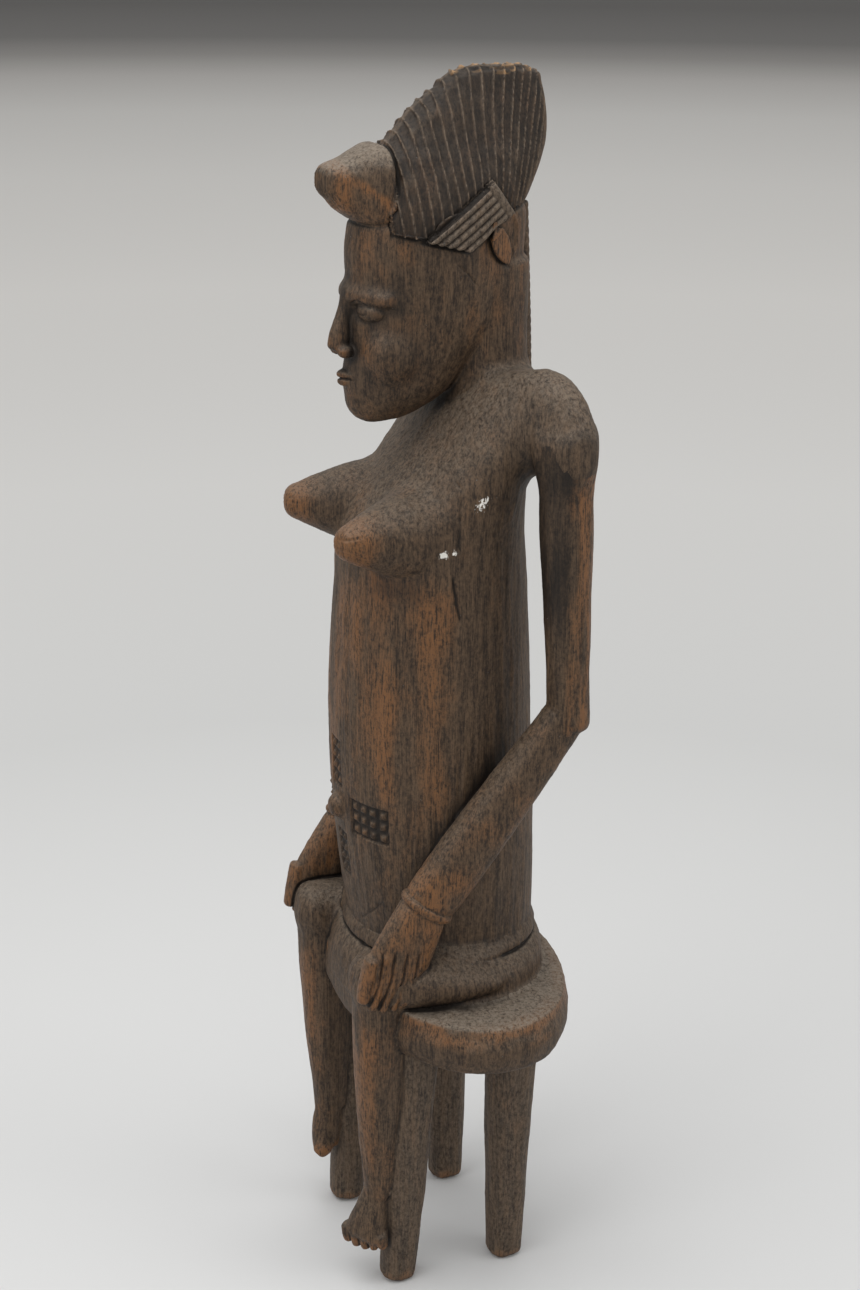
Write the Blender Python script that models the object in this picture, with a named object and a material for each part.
"""Seated ancestor figure on a four-legged stool, carved in dense dark hardwood.

The figure faces -Y, its left side is +X and +Z is up. The origin lies under the
middle of the stool, on the plane that the four stool feet stand on. Sizes are in
millimetres and are turned to metres when a mesh is made.

The carving is divided into the regions a carver works through: stool, legs, trunk,
arms, head and coiffure. Every region is one closed solid, and neighbours are parted
by GAP.
"""

import math
from dataclasses import dataclass, replace

import bmesh
import bpy
from mathutils import Vector

MM = 0.001
GAP = 0.3

# Stool
STOOL_HEIGHT = 167.0
SEAT_THICKNESS = 25.0
SEAT_LENGTH = 192.0
SEAT_DEPTH = 114.0
SEAT_CENTRE_Y = 8.0
SEAT_EDGE_ROUND = 5.0
FOOT_SPACING_X = 82.0
FOOT_SPACING_Y = 61.0
LEG_SPLAY_X = 4.0
FRONT_LEG_RAKE = 8.0
LEG_FOOT_DIAMETER = 20.0
LEG_TOP_DIAMETER = 28.0
LEG_END_FLAT = 12.0
LEG_END_ROUND = 5.0

# Trunk, from the seat upward
HIP_HEIGHT = 17.0
HIP_WIDTH = 142.0
HIP_DEPTH = 108.0
HIP_CENTRE_Y = 6.0
BELT_HEIGHT = 9.0
BELT_PROUD = 4.0
TRUNK_HEIGHT = 179.0
TRUNK_WIDTH = 108.0
TRUNK_DEPTH = 100.0
CHEST_HEIGHT = 112.0
NAVEL_HEIGHT = 67.0
NAVEL_DIAMETER = 17.0
NAVEL_LENGTH = 8.0

# Breasts
BREAST_SPACING = 82.0
BREAST_TIP_HEIGHT = 35.0
BREAST_BASE_DIAMETER = 50.0
BREAST_TIP_DIAMETER = 17.0
BREAST_REACH = 63.7

# Shoulders and arms
SHOULDER_WIDTH = 134.0
SHOULDER_HEIGHT = 86.0
SHOULDER_Y = 43.0
UPPER_ARM_LENGTH = 142.0
UPPER_ARM_DIAMETER = 22.0
FOREARM_WIDTH = 30.0
FOREARM_THICKNESS = 23.0
ELBOW_SPACING = 141.0
WRIST_SPACING = 113.0
BRACELET_LENGTH = 6.0
BRACELET_PROUD = 2.2
HAND_WIDTH = 37.0
HAND_THICKNESS = 13.0
HAND_LENGTH = 54.0
HAND_HEEL = 6.0
FINGERS = 4

# Human legs
KNEE_SPACING = 89.0
KNEE_FRONT_Y = -58.0
THIGH_HEIGHT = 28.0
THIGH_ROOT_WIDTH = 50.0
KNEE_WIDTH = 27.0
CALF_DIAMETER = 27.0
ANKLE_DIAMETER = 14.0
LEFT_ANKLE_HEIGHT = 54.0
LEFT_TOE_HEIGHT = 16.0
RIGHT_ANKLE_HEIGHT = 61.0
RIGHT_TOE_HEIGHT = 29.0
LEFT_INSTEP_Y = -61.0
RIGHT_INSTEP_Y = -54.0
TOE_WIDTH = 22.0
TOES = 5

# Neck, head and hair
NECK_WIDTH = 52.0
NECK_DEPTH = 42.0
NECK_CENTRE_Y = 26.0
CHIN_HEIGHT = 85.0
HEAD_HEIGHT = 112.0
HEAD_WIDTH = 62.0
HEAD_DEPTH = 88.0
NOSE_LENGTH = 26.0
EAR_HEIGHT = 24.0
EAR_WIDTH = 12.0
CREST_RISE = 51.0
CREST_HEIGHT = 82.0
CREST_INSET = 4.0
CREST_TOP_WIDTH = 15.0
CREST_RIBS = 16
CREST_GROOVE = 1.2
KNOB_REACH = 54.0
KNOB_WIDTH = 30.0
KNOB_HEIGHT = 26.0
BAND_LENGTH = 44.0
BAND_WIDTH = 21.0
BAND_RIDGES = 4
BAND_PROUD = 4.5
BRAID_WIDTH = 11.0
BRAID_LENGTH = 80.0
BRAID_LINKS = 11
BRAID_PROUD = 4.0

# Levels and places that follow from the sizes above
SEAT_UNDERSIDE = STOOL_HEIGHT - SEAT_THICKNESS
HIP_TOP = STOOL_HEIGHT + HIP_HEIGHT
BELT_TOP = HIP_TOP + BELT_HEIGHT
CHEST_BASE = BELT_TOP + TRUNK_HEIGHT
SHOULDER_Z = CHEST_BASE + SHOULDER_HEIGHT
ELBOW_Z = SHOULDER_Z - UPPER_ARM_LENGTH
CHIN_Z = CHEST_BASE + CHIN_HEIGHT
CROWN_Z = CHIN_Z + HEAD_HEIGHT
CREST_TOP = CROWN_Z + CREST_RISE
CREST_BASE_WIDTH = HEAD_WIDTH - 2 * CREST_INSET
THIGH_Z = STOOL_HEIGHT + GAP + THIGH_HEIGHT / 2
WRIST = Vector((WRIST_SPACING / 2, KNEE_FRONT_Y + 33, STOOL_HEIGHT + 52))
ELBOW = Vector((ELBOW_SPACING / 2, SHOULDER_Y + 3, ELBOW_Z))

# Facets
BODY_SIDES = 28
LIMB_SIDES = 14
SMALL_SIDES = 12

WOOD_TONES = {
    "dark": ((0.033, 0.022, 0.015, 1.0), 0.55),
    "worn": ((0.105, 0.052, 0.024, 1.0), 0.50),
    "dusty": ((0.062, 0.050, 0.041, 1.0), 0.70),
    "raw": ((0.200, 0.098, 0.040, 1.0), 0.65),
}


@dataclass(frozen=True)
class Section:
    """One cross-section of a loft: an oval of half-sizes a and b around centre."""

    centre: tuple
    a: float
    b: float
    square: float = 2.0
    ridges: int = 0
    ridge_depth: float = 0.0


@dataclass(frozen=True)
class Loft:
    """Sections along a path. across is the direction of every section's a axis."""

    sections: tuple
    across: tuple = (1.0, 0.0, 0.0)
    sides: int = LIMB_SIDES
    level: bool = False
    flipped: bool = False

    def points(self, index):
        """Return the outline of one section as a list of vectors."""
        section = self.sections[index]
        centre = Vector(section.centre)
        along = self.direction(index)
        across = Vector(self.across)
        across = (across - along * across.dot(along)).normalized()
        up = along.cross(across)
        outline = []
        for step in range(self.sides):
            angle = math.tau * step / self.sides
            reach = superellipse(angle, section.square)
            side = section.a * reach[0]
            rise = section.b * reach[1]
            if section.ridges and rise > 0:
                wave = math.cos(math.pi * section.ridges * (reach[0] + 1))
                rise -= section.ridge_depth * (1 + wave) / 2
            outline.append(centre + across * side + up * rise)
        if self.flipped:
            outline = [Vector((-p.x, p.y, p.z)) for p in outline]
        return outline

    def direction(self, index):
        """Return the unit direction of the path at one section."""
        if self.level:
            rise = self.sections[-1].centre[2] - self.sections[0].centre[2]
            return Vector((0.0, 0.0, math.copysign(1.0, rise)))
        before = Vector(self.sections[max(index - 1, 0)].centre)
        after = Vector(self.sections[min(index + 1, len(self.sections) - 1)].centre)
        return (after - before).normalized()

    def grown(self, margin):
        """Return the same loft, larger by margin on every side."""
        sections = [replace(s, a=s.a + margin, b=s.b + margin) for s in self.sections]
        first = Vector(sections[0].centre) - self.direction(0) * margin
        last = Vector(sections[-1].centre) + self.direction(len(sections) - 1) * margin
        sections[0] = replace(sections[0], centre=tuple(first))
        sections[-1] = replace(sections[-1], centre=tuple(last))
        return replace(self, sections=tuple(sections))

    def mirrored(self):
        """Return the loft for the other side of the figure."""
        return replace(self, flipped=not self.flipped)


def superellipse(angle, square):
    """Return the point at an angle on a unit oval; square above 2 flattens its sides."""
    power = 2.0 / square
    cosine, sine = math.cos(angle), math.sin(angle)
    return (
        math.copysign(abs(cosine) ** power, cosine),
        math.copysign(abs(sine) ** power, sine),
    )


def make_material(tone):
    """Return the wood finish of one tone, made on first use."""
    name = f"carved_hardwood_{tone}"
    material = bpy.data.materials.get(name)
    if material is None:
        colour, roughness = WOOD_TONES[tone]
        material = bpy.data.materials.new(name)
        material.use_nodes = True
        shader = material.node_tree.nodes["Principled BSDF"]
        shader.inputs["Base Color"].default_value = colour
        shader.inputs["Roughness"].default_value = roughness
        shader.inputs["Metallic"].default_value = 0.0
        material.diffuse_color = colour
    return material


def make_object(name, loft, tone="dark"):
    """Make a closed mesh object from a loft."""
    builder = bmesh.new()
    rings = []
    for index in range(len(loft.sections)):
        rings.append([builder.verts.new(p * MM) for p in loft.points(index)])
    for lower, upper in zip(rings, rings[1:]):
        for step in range(loft.sides):
            following = (step + 1) % loft.sides
            builder.faces.new((lower[step], lower[following], upper[following], upper[step]))
    builder.faces.new(list(reversed(rings[0])))
    builder.faces.new(rings[-1])
    bmesh.ops.triangulate(builder, faces=builder.faces[:])
    bmesh.ops.recalc_face_normals(builder, faces=builder.faces[:])
    mesh = bpy.data.meshes.new(name)
    builder.to_mesh(mesh)
    builder.free()
    mesh.shade_smooth()
    mesh.set_sharp_from_angle(angle=math.radians(35))
    mesh.materials.append(make_material(tone))
    piece = bpy.data.objects.new(name, mesh)
    bpy.context.collection.objects.link(piece)
    return piece


def hide(piece):
    """Keep a cutter or a union half out of the finished figure."""
    piece.hide_render = True
    piece.display_type = "WIRE"


def combine(piece, tool, operation):
    """Add a Boolean between a piece and a tool, which is then hidden."""
    hide(tool)
    modifier = piece.modifiers.new(tool.name, "BOOLEAN")
    modifier.operation = operation
    modifier.solver = "EXACT"
    modifier.object = tool


def part_from(piece, *neighbours):
    """Cut a piece back from each neighbouring loft, leaving GAP between them."""
    for number, loft in enumerate(neighbours):
        cutter = make_object(f"{piece.name}.cutter_{number}", loft.grown(GAP))
        combine(piece, cutter, "DIFFERENCE")


def join_loft(piece, loft, label):
    """Unite a further loft with a piece."""
    combine(piece, make_object(f"{piece.name}.{label}", loft), "UNION")


def sides_of(loft):
    """Yield each side's name and its loft, given the loft of the left side."""
    yield "left", loft
    yield "right", loft.mirrored()


# ---------------------------------------------------------------- stool


def seat_loft():
    """Return the oval seat with softened edges."""
    a, b = SEAT_LENGTH / 2, SEAT_DEPTH / 2
    soft = SEAT_EDGE_ROUND
    inset = soft * 0.3
    levels = (
        (SEAT_UNDERSIDE, soft),
        (SEAT_UNDERSIDE + inset, inset),
        (SEAT_UNDERSIDE + soft, 0.0),
        (STOOL_HEIGHT - soft, 0.0),
        (STOOL_HEIGHT - inset, inset),
        (STOOL_HEIGHT, soft),
    )
    sections = tuple(Section((0, SEAT_CENTRE_Y, z), a - cut, b - cut) for z, cut in levels)
    return Loft(sections, sides=40, level=True)


def stool_leg_loft(front):
    """Return the left front or left rear leg, from its foot up to the seat."""
    foot_x = FOOT_SPACING_X / 2
    foot_y = -FOOT_SPACING_Y / 2 if front else FOOT_SPACING_Y / 2
    lean_y = FRONT_LEG_RAKE if front else 0.0
    foot_radius = LEG_FOOT_DIAMETER / 2
    top_radius = LEG_TOP_DIAMETER / 2
    top_z = SEAT_UNDERSIDE - GAP

    def at(z, radius):
        share = z / top_z
        centre = (foot_x + LEG_SPLAY_X * share, foot_y + lean_y * share, z)
        return Section(centre, radius, radius)

    soft = LEG_END_ROUND
    return Loft(
        (
            at(0.0, LEG_END_FLAT / 2),
            at(soft * 0.3, foot_radius - soft * 0.3),
            at(soft, foot_radius),
            at(top_z / 2, (foot_radius + top_radius) / 2),
            at(top_z, top_radius),
        ),
        sides=16,
        level=True,
    )


def build_stool():
    """Make the seat and its four legs."""
    make_object("stool_seat", seat_loft(), "dusty")
    for place, front in (("front", True), ("rear", False)):
        for side, loft in sides_of(stool_leg_loft(front)):
            make_object(f"stool_leg_{place}_{side}", loft, "dark")


# ---------------------------------------------------------------- trunk


def hips_loft():
    """Return the hips, spread over the seat and drawn in under the belt."""
    a, b = HIP_WIDTH / 2, HIP_DEPTH / 2
    belt_a, belt_b = TRUNK_WIDTH / 2 + BELT_PROUD, TRUNK_DEPTH / 2 + BELT_PROUD
    foot = STOOL_HEIGHT + GAP
    return Loft(
        (
            Section((0, HIP_CENTRE_Y, foot), a - 2, b - 2),
            Section((0, HIP_CENTRE_Y, foot + HIP_HEIGHT * 0.3), a, b),
            Section((0, HIP_CENTRE_Y + 1, foot + HIP_HEIGHT * 0.65), a - 3, b),
            Section((0, HIP_CENTRE_Y + 2, HIP_TOP), belt_a, belt_b - 2),
        ),
        sides=BODY_SIDES,
        level=True,
    )


def belt_loft():
    """Return the raised line carved round the hips."""
    a, b = TRUNK_WIDTH / 2, TRUNK_DEPTH / 2
    middle = (HIP_TOP + BELT_TOP) / 2
    centre_y = HIP_CENTRE_Y + 2
    return Loft(
        (
            Section((0, centre_y, HIP_TOP + GAP), a + BELT_PROUD * 0.5, b + BELT_PROUD * 0.5),
            Section((0, centre_y, middle), a + BELT_PROUD, b + BELT_PROUD),
            Section((0, centre_y, BELT_TOP), a, b),
        ),
        sides=BODY_SIDES,
        level=True,
    )


def trunk_loft():
    """Return the long belly from the belt to under the breasts."""
    a, b = TRUNK_WIDTH / 2, TRUNK_DEPTH / 2
    base = BELT_TOP + GAP

    def at(share, centre_y, slimmer_a, slimmer_b):
        centre = (0, centre_y, base + (CHEST_BASE - base) * share)
        return Section(centre, a - slimmer_a, b - slimmer_b)

    return Loft(
        (
            at(0.00, HIP_CENTRE_Y + 2, 2, 0),
            at(0.22, 4.5, 0, 0),
            at(0.42, 2.0, 0, -1),
            at(0.62, 0.0, 1, 0),
            at(0.82, 0.0, 1, 1.5),
            at(1.00, 0.5, 1, 2.5),
        ),
        sides=BODY_SIDES,
        level=True,
    )


def chest_loft():
    """Return the chest, which slopes back towards the neck."""
    a, b = TRUNK_WIDTH / 2, TRUNK_DEPTH / 2
    base = CHEST_BASE + GAP

    def at(share, centre_y, half_width, half_depth):
        return Section((0, centre_y, base + CHEST_HEIGHT * share), half_width, half_depth)

    return Loft(
        (
            at(0.00, 0.5, a - 1, b - 3),
            at(0.25, 1.0, a, b - 5),
            at(0.47, 6.0, a + 2, b - 11),
            at(0.65, 14.0, a + 4, b - 18),
            at(0.80, 24.0, a - 2, b - 26),
            at(0.94, 30.0, a - 14, b - 36),
        ),
        sides=BODY_SIDES,
        level=True,
    )


def yoke_loft():
    """Return the bar of the shoulders, from one arm to the other."""
    half = SHOULDER_WIDTH / 2

    def at(x, centre_y, centre_z, half_depth, half_height):
        return Section((x, centre_y, centre_z), half_depth, half_height)

    outer = (
        at(half + 9, SHOULDER_Y - 1, SHOULDER_Z - 6, 7, 13),
        at(half + 3, SHOULDER_Y - 2, SHOULDER_Z - 4, 13, 21),
        at(half - 12, SHOULDER_Y - 5, SHOULDER_Z, 17, 25),
        at(half - 37, SHOULDER_Y - 10, SHOULDER_Z, 20, 22),
    )
    inner = tuple(replace(s, centre=(-s.centre[0], s.centre[1], s.centre[2])) for s in outer)
    middle = at(0, SHOULDER_Y - 11, SHOULDER_Z - 2, 20, 20)
    return Loft(inner + (middle,) + tuple(reversed(outer)), across=(0, 1, 0), sides=20)


def navel_loft():
    """Return the navel, a short cone that stands out of the belly."""
    z = BELT_TOP + NAVEL_HEIGHT
    front = 2.0 - TRUNK_DEPTH / 2
    radius = NAVEL_DIAMETER / 2
    return Loft(
        (
            Section((0, front + 8, z), radius, radius),
            Section((0, front - NAVEL_LENGTH * 0.3, z), radius * 0.85, radius * 0.85),
            Section((0, front - NAVEL_LENGTH * 0.7, z), radius * 0.5, radius * 0.5),
        ),
        sides=SMALL_SIDES,
    )


def breast_loft():
    """Return the left breast: a blunt cone with a small turned tip."""
    tip = Vector((BREAST_SPACING / 2, -BREAST_REACH, CHEST_BASE + BREAST_TIP_HEIGHT))
    root = Vector((BREAST_SPACING / 2 - 12, -14, CHEST_BASE + BREAST_TIP_HEIGHT + 3))
    base = BREAST_BASE_DIAMETER / 2
    end = BREAST_TIP_DIAMETER / 2
    shape = ((0.0, base), (0.35, base * 0.9), (0.62, base * 0.66), (0.84, end * 1.3), (0.95, end))

    def at(share, radius):
        return Section(tuple(root.lerp(tip, share)), radius, radius * 0.96)

    body = tuple(at(share, radius) for share, radius in shape)
    return Loft(body + (at(1.0, end * 0.65),), sides=16)


def build_trunk():
    """Make the hips, belt, belly, shoulders, chest, navel and breasts."""
    make_object("hips", hips_loft(), "dark")
    make_object("waist_belt", belt_loft(), "dusty")
    make_object("belly", trunk_loft(), "worn")
    make_object("shoulders", yoke_loft(), "dusty")
    part_from(make_object("chest", chest_loft(), "dusty"), yoke_loft())
    part_from(make_object("navel", navel_loft(), "worn"), trunk_loft())
    for side, loft in sides_of(breast_loft()):
        breast = make_object(f"breast_{side}", loft, "worn")
        part_from(breast, chest_loft(), trunk_loft())


# ---------------------------------------------------------------- arms


def upper_arm_loft():
    """Return the left upper arm, which hangs from the shoulder to the elbow."""
    radius = UPPER_ARM_DIAMETER / 2
    shoulder = Vector((SHOULDER_WIDTH / 2, SHOULDER_Y - 2, SHOULDER_Z - 6))

    def at(share, width, depth):
        return Section(tuple(shoulder.lerp(ELBOW, share)), width, depth)

    return Loft(
        (
            at(0.0, radius + 1.0, radius + 3.0),
            at(0.3, radius, radius + 1.5),
            at(0.55, radius - 0.5, radius),
            at(0.75, radius - 1.0, radius - 1.0),
            at(1.0, radius - 0.6, radius - 0.4),
            at(1.06, radius - 3.5, radius - 3.5),
        ),
        sides=LIMB_SIDES,
    )


def forearm_axis(share):
    """Return the point at a share of the way from the elbow to the wrist."""
    return ELBOW.lerp(WRIST, share)


def forearm_loft():
    """Return the left forearm, which slopes down to the knee."""
    thick, wide = FOREARM_THICKNESS / 2, FOREARM_WIDTH / 2

    def at(share, thinner, narrower):
        return Section(tuple(forearm_axis(share)), thick - thinner, wide - narrower)

    return Loft(
        (
            at(0.0, 2.0, 4.5),
            at(0.25, 0.5, 2.0),
            at(0.6, 0.0, 0.0),
            at(1.0, 0.8, 1.0),
        ),
        sides=LIMB_SIDES,
    )


def bracelet_loft():
    """Return the carved bracelet, in line with the forearm."""
    along = (WRIST - ELBOW).normalized()
    thick = FOREARM_THICKNESS / 2 - 0.8 + BRACELET_PROUD
    wide = FOREARM_WIDTH / 2 - 1.0 + BRACELET_PROUD
    start = WRIST + along * GAP
    middle = start + along * BRACELET_LENGTH / 2
    end = start + along * BRACELET_LENGTH
    return Loft(
        (
            Section(tuple(start), thick - 1.2, wide - 1.2),
            Section(tuple(middle), thick, wide),
            Section(tuple(end), thick - 1.2, wide - 1.2),
        ),
        sides=LIMB_SIDES,
    )


def hand_loft():
    """Return the left hand, laid flat on the outer side of the knee."""
    along = (WRIST - ELBOW).normalized()
    root = WRIST + along * (BRACELET_LENGTH + 2 * GAP)
    heel = root + along * HAND_HEEL
    tips = heel + Vector((0.0, -14.0, -(HAND_LENGTH - HAND_HEEL)))
    tips.x = (KNEE_SPACING + KNEE_WIDTH) / 2 + HAND_THICKNESS * 0.25
    thick, wide = HAND_THICKNESS / 2, HAND_WIDTH / 2
    crease = HAND_THICKNESS * 0.22

    def at(share, half_width, half_thick, depth):
        centre = heel.lerp(tips, share)
        return Section(tuple(centre), half_width, half_thick, 3.0, FINGERS, depth)

    return Loft(
        (
            Section(tuple(root), wide * 0.7, thick * 1.5, 2.4),
            at(0.0, wide * 0.75, thick * 1.4, 0.0),
            at(0.3, wide * 0.9, thick * 1.1, 0.0),
            at(0.5, wide, thick, crease * 0.5),
            at(0.8, wide, thick * 0.9, crease),
            at(1.0, wide * 0.85, thick * 0.6, crease * 0.7),
        ),
        across=(0, 1, 0),
        sides=36,
    )


def build_arms():
    """Make the arms, bracelets and hands of both sides."""
    for side, upper in sides_of(upper_arm_loft()):
        arm = make_object(f"upper_arm_{side}", upper, "worn")
        part_from(arm, yoke_loft(), chest_loft())
        forearm = make_object(f"forearm_{side}", pick(forearm_loft(), side), "worn")
        part_from(forearm, upper, trunk_loft())
        bracelet = make_object(f"bracelet_{side}", pick(bracelet_loft(), side), "raw")
        part_from(bracelet, trunk_loft())
        hand = make_object(f"hand_{side}", pick(hand_loft(), side), "worn")
        part_from(
            hand,
            pick(thigh_loft(), side),
            calf_loft(side),
            hips_loft(),
            seat_loft(),
        )


def pick(loft, side):
    """Return a left-hand loft as it is, or mirrored for the right side."""
    return loft if side == "left" else loft.mirrored()


# ---------------------------------------------------------------- human legs


def thigh_loft():
    """Return the left thigh, from the hips to the knee over the seat's front."""
    x = KNEE_SPACING / 2
    half = THIGH_HEIGHT / 2
    root, knee = THIGH_ROOT_WIDTH / 2, KNEE_WIDTH / 2

    def at(y, half_width, half_height):
        return Section((x, y, THIGH_Z), half_width, half_height, 2.4)

    return Loft(
        (
            at(-2, root, half),
            at(-30, root * 0.8, half),
            at(KNEE_FRONT_Y + 12, knee, half),
            at(KNEE_FRONT_Y + 4, knee * 0.9, half * 0.86),
            at(KNEE_FRONT_Y, knee * 0.6, half * 0.55),
        ),
        sides=LIMB_SIDES,
    )


def ankle_height(side):
    """Return how high one ankle hangs; the two were carved unevenly."""
    return LEFT_ANKLE_HEIGHT if side == "left" else RIGHT_ANKLE_HEIGHT


def toe_height(side):
    """Return how high the toes of one foot hang."""
    return LEFT_TOE_HEIGHT if side == "left" else RIGHT_TOE_HEIGHT


def calf_loft(side):
    """Return one lower leg, which hangs in front of its stool leg."""
    radius, ankle = CALF_DIAMETER / 2, ANKLE_DIAMETER / 2
    knee = Vector((KNEE_SPACING / 2, KNEE_FRONT_Y + 13, THIGH_Z - 4))
    foot = Vector((KNEE_SPACING / 2 - 5.5, KNEE_FRONT_Y + 15, ankle_height(side)))

    def at(share, half_width):
        return Section(tuple(knee.lerp(foot, share)), half_width, half_width)

    loft = Loft(
        (
            at(0.0, radius * 0.96),
            at(0.25, radius),
            at(0.65, radius * 0.78),
            at(1.0, ankle),
        ),
        sides=LIMB_SIDES,
        level=True,
    )
    return pick(loft, side)


def foot_loft(side):
    """Return one foot, which hangs with its toes down."""
    x = KNEE_SPACING / 2 - 6.0
    half = TOE_WIDTH / 2
    ankle = ANKLE_DIAMETER / 2
    top = ankle_height(side) - GAP
    drop = top - toe_height(side)
    front = LEFT_INSTEP_Y if side == "left" else RIGHT_INSTEP_Y

    def at(share, half_width, half_depth, setback, crease):
        centre = (x, front + setback + half_depth, top - drop * share)
        return Section(centre, half_width, half_depth, 2.5, TOES, crease)

    loft = Loft(
        (
            Section((x, KNEE_FRONT_Y + 15, top), ankle, ankle, 2.5),
            at(0.3, half * 0.75, 10.0, 3.0, 0.0),
            at(0.6, half, 11.0, 0.0, 0.8),
            at(0.88, half, 8.0, 1.5, 1.8),
            at(1.0, half * 0.85, 4.5, 5.0, 1.2),
        ),
        sides=40,
        level=True,
    )
    return pick(loft, side)


def build_legs():
    """Make the thighs, lower legs and feet of both sides."""
    for side, thigh in sides_of(thigh_loft()):
        stool_leg = pick(stool_leg_loft(True), side)
        piece = make_object(f"thigh_{side}", thigh, "dark")
        part_from(piece, hips_loft(), belt_loft(), trunk_loft(), seat_loft())
        calf = make_object(f"lower_leg_{side}", calf_loft(side), "worn")
        part_from(calf, thigh, hips_loft(), seat_loft(), stool_leg)
        foot = make_object(f"foot_{side}", foot_loft(side), "raw")
        part_from(foot, stool_leg, calf_loft(side))


# ---------------------------------------------------------------- neck and head


def neck_loft():
    """Return the broad neck, from inside the shoulders into the head."""
    a, b = NECK_WIDTH / 2, NECK_DEPTH / 2
    return Loft(
        (
            Section((0, NECK_CENTRE_Y, SHOULDER_Z), a + 3, b + 2),
            Section((0, NECK_CENTRE_Y, CHIN_Z + 25), a, b),
            Section((0, NECK_CENTRE_Y - 2, CHIN_Z + 60), a, b),
        ),
        sides=20,
        level=True,
    )


def head_loft():
    """Return the head as a plain egg, with its brow over its chin."""
    a, b = HEAD_WIDTH / 2, HEAD_DEPTH / 2

    def at(share, centre_y, wide, deep):
        return Section((0, centre_y, CHIN_Z + HEAD_HEIGHT * share), a * wide, b * deep)

    return Loft(
        (
            at(0.00, -27, 0.30, 0.20),
            at(0.08, -20, 0.58, 0.48),
            at(0.22, -13, 0.76, 0.68),
            at(0.40, -4, 0.90, 0.88),
            at(0.58, 0, 0.98, 0.97),
            at(0.74, 1, 1.00, 1.00),
            at(0.88, 3, 0.94, 0.95),
            at(1.00, 5, 0.65, 0.72),
        ),
        sides=BODY_SIDES,
        level=True,
    )


def nose_loft():
    """Return a plain wedge nose, centred in the lower half of the face."""
    middle = CHIN_Z + HEAD_HEIGHT * 0.44
    face_y = -HEAD_DEPTH * 0.44
    return Loft(
        (
            Section((0, face_y + 3, middle + NOSE_LENGTH / 2), 3.0, 4.0),
            Section((0, face_y - 1, middle - NOSE_LENGTH / 2 + 5), 6.0, 6.0),
            Section((0, face_y + 1, middle - NOSE_LENGTH / 2), 5.0, 4.0),
        ),
        sides=SMALL_SIDES,
        level=True,
    )


def lips_loft():
    """Return plain closed lips, a third of the way from nose to chin."""
    z = CHIN_Z + HEAD_HEIGHT * 0.22
    face_y = -HEAD_DEPTH * 0.455
    middle = Section((0, face_y, z), 4.0, 3.4)
    ends = tuple(Section((x, face_y + 5, z), 2.0, 1.4) for x in (-10, 10))
    return Loft((ends[0], middle, ends[1]), across=(0, 1, 0), sides=SMALL_SIDES)


def build_head():
    """Make the neck, the head with its plain face, and the ears."""
    part_from(make_object("neck", neck_loft(), "dark"), chest_loft(), yoke_loft(), head_loft())
    head = make_object("head", head_loft(), "worn")
    join_loft(head, nose_loft(), "nose")
    join_loft(head, lips_loft(), "lips")
    for side, loft in sides_of(ear_loft()):
        ear = make_object(f"ear_{side}", loft, "raw")
        part_from(ear, head_loft(), crest_loft(), pick(band_loft(), side))


# ---------------------------------------------------------------- hair


def crest_loft():
    """Return the tall hair crest: a fan that thins from the head to its top."""
    base_z = CREST_TOP - CREST_HEIGHT
    shape = (
        (0.00, -20, 38, 0.00),
        (0.20, -24, 43, 0.08),
        (0.42, -26, 52, 0.35),
        (0.58, -20, 57, 0.55),
        (0.74, -11, 57, 0.72),
        (0.90, 2, 54, 0.88),
        (1.00, 16, 48, 1.00),
    )
    wide, thin = CREST_BASE_WIDTH / 2, CREST_TOP_WIDTH / 2

    def at(share, front, back, thinning):
        half_width = wide + (thin - wide) * thinning
        centre = (0, (front + back) / 2, base_z + CREST_HEIGHT * share)
        return Section(centre, half_width, (back - front) / 2, 2.8)

    return Loft(tuple(at(*row) for row in shape), sides=BODY_SIDES, level=True)


def cut_crest_grooves(crest):
    """Cut the fanned grooves into both cheeks of the crest."""
    base_z = CREST_TOP - CREST_HEIGHT
    middle = (CREST_RIBS - 1) / 2
    for number in range(CREST_RIBS):
        spread = (number - middle) / middle
        foot = Vector((0, 14 + 30 * spread, base_z + 14))
        head = Vector((0, 20 + 48 * spread, CREST_TOP + 4))
        for side in (-1, 1):
            low, high = foot.copy(), head.copy()
            low.x = side * CREST_BASE_WIDTH / 2
            high.x = side * (CREST_TOP_WIDTH / 2 - 1)
            groove = Loft(
                (
                    Section(tuple(low), CREST_GROOVE, CREST_GROOVE),
                    Section(tuple(high), CREST_GROOVE, CREST_GROOVE),
                ),
                sides=4,
            )
            combine(crest, make_object(f"crest_groove_{number}.{side}", groove), "DIFFERENCE")


def knob_loft():
    """Return the rounded knob of hair that juts out over the brow."""
    a, b = KNOB_WIDTH / 2, KNOB_HEIGHT / 2
    z = CREST_TOP - CREST_HEIGHT * 0.66
    return Loft(
        (
            Section((0, -10, z + 3), a + 8, b + 4),
            Section((0, -28, z + 1), a + 4, b + 2, 2.3),
            Section((0, 10 - KNOB_REACH, z - 3), a, b - 1, 2.3),
            Section((0, 2 - KNOB_REACH, z - 4), a - 2, b - 3, 2.3),
            Section((0, -KNOB_REACH, z - 4), a - 5, b - 6),
        ),
        sides=18,
    )


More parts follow.
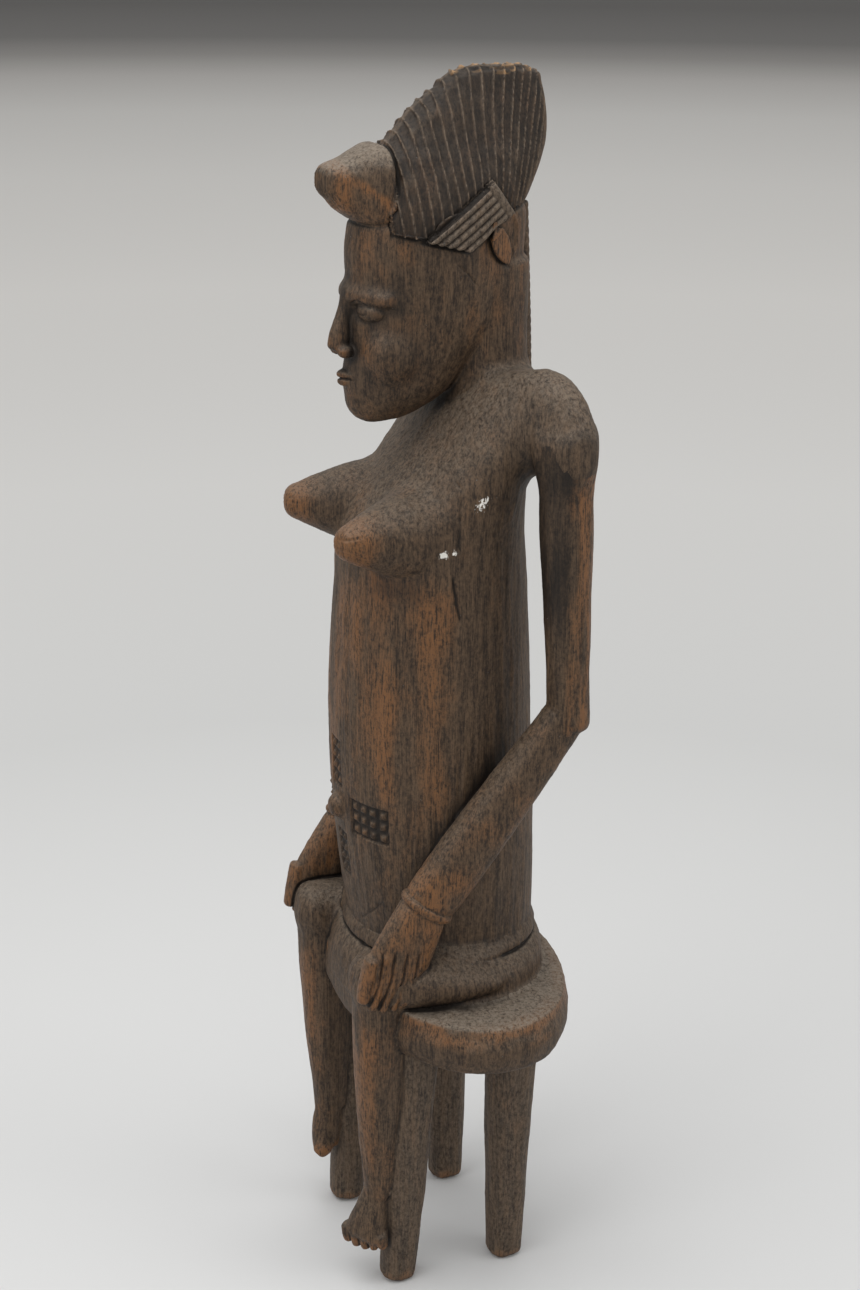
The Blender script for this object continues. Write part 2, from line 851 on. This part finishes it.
def band_loft():
    """Return the left side band of hair: ridges that rise from temple to nape."""
    start = Vector((HEAD_WIDTH / 2 - 4, -13, CROWN_Z - 31))
    rise = Vector((-5.0, 34.0, 26.0)).normalized()
    end = start + rise * BAND_LENGTH
    depth = BAND_PROUD

    def at(share, half_width, proud):
        centre = start.lerp(end, share)
        return Section(tuple(centre), half_width, proud + 3, 3.0, BAND_RIDGES, depth * 0.4)

    half = BAND_WIDTH / 2
    return Loft(
        (
            at(0.0, half * 0.25, depth * 0.6),
            at(0.35, half * 0.65, depth),
            at(1.0, half, depth),
        ),
        across=(0, -0.6, 0.8),
        sides=32,
    )


def ear_loft():
    """Return the left ear, a small leaf under the end of the side band."""
    z = CROWN_Z - 30
    half_z, half_y = EAR_HEIGHT / 2, EAR_WIDTH / 2
    x = HEAD_WIDTH / 2

    def at(level, half_x, half_depth):
        return Section((x - 2, 22, z + level), half_x, half_depth)

    return Loft(
        (
            at(-half_z, 2.0, half_y * 0.35),
            at(-half_z * 0.5, 5.0, half_y * 0.8),
            at(half_z * 0.2, 6.5, half_y),
            at(half_z * 0.8, 5.0, half_y * 0.8),
        ),
        sides=SMALL_SIDES,
        level=True,
    )


def braid_loft():
    """Return the braid down the nape, a row of links of equal height."""
    back = NECK_CENTRE_Y + NECK_DEPTH / 2
    top = CROWN_Z - 14
    pitch = BRAID_LENGTH / BRAID_LINKS
    half = BRAID_WIDTH / 2
    sections = []
    for link in range(BRAID_LINKS):
        for share, size in ((0.08, 0.72), (0.5, 1.0), (0.92, 0.72)):
            z = top - BRAID_LENGTH + pitch * (link + share)
            sections.append(Section((0, back, z), half * size, BRAID_PROUD * size + 1))
    return Loft(tuple(sections), sides=10, level=True)


def build_hair():
    """Make the crest, the knob, the side bands and the nape braid."""
    crest = make_object("hair_crest", crest_loft(), "dusty")
    part_from(crest, head_loft())
    cut_crest_grooves(crest)
    knob = make_object("hair_knob", knob_loft(), "raw")
    part_from(knob, head_loft(), crest_loft())
    for side, loft in sides_of(band_loft()):
        band = make_object(f"hair_band_{side}", loft, "dusty")
        part_from(band, head_loft(), crest_loft())
    braid = make_object("nape_braid", braid_loft(), "dark")
    part_from(braid, neck_loft(), head_loft(), yoke_loft(), chest_loft(), crest_loft())


def main():
    """Clear the scene and build the whole figure."""
    for leftover in list(bpy.data.objects):
        bpy.data.objects.remove(leftover, do_unlink=True)
    build_stool()
    build_trunk()
    build_arms()
    build_legs()
    build_head()
    build_hair()


main()
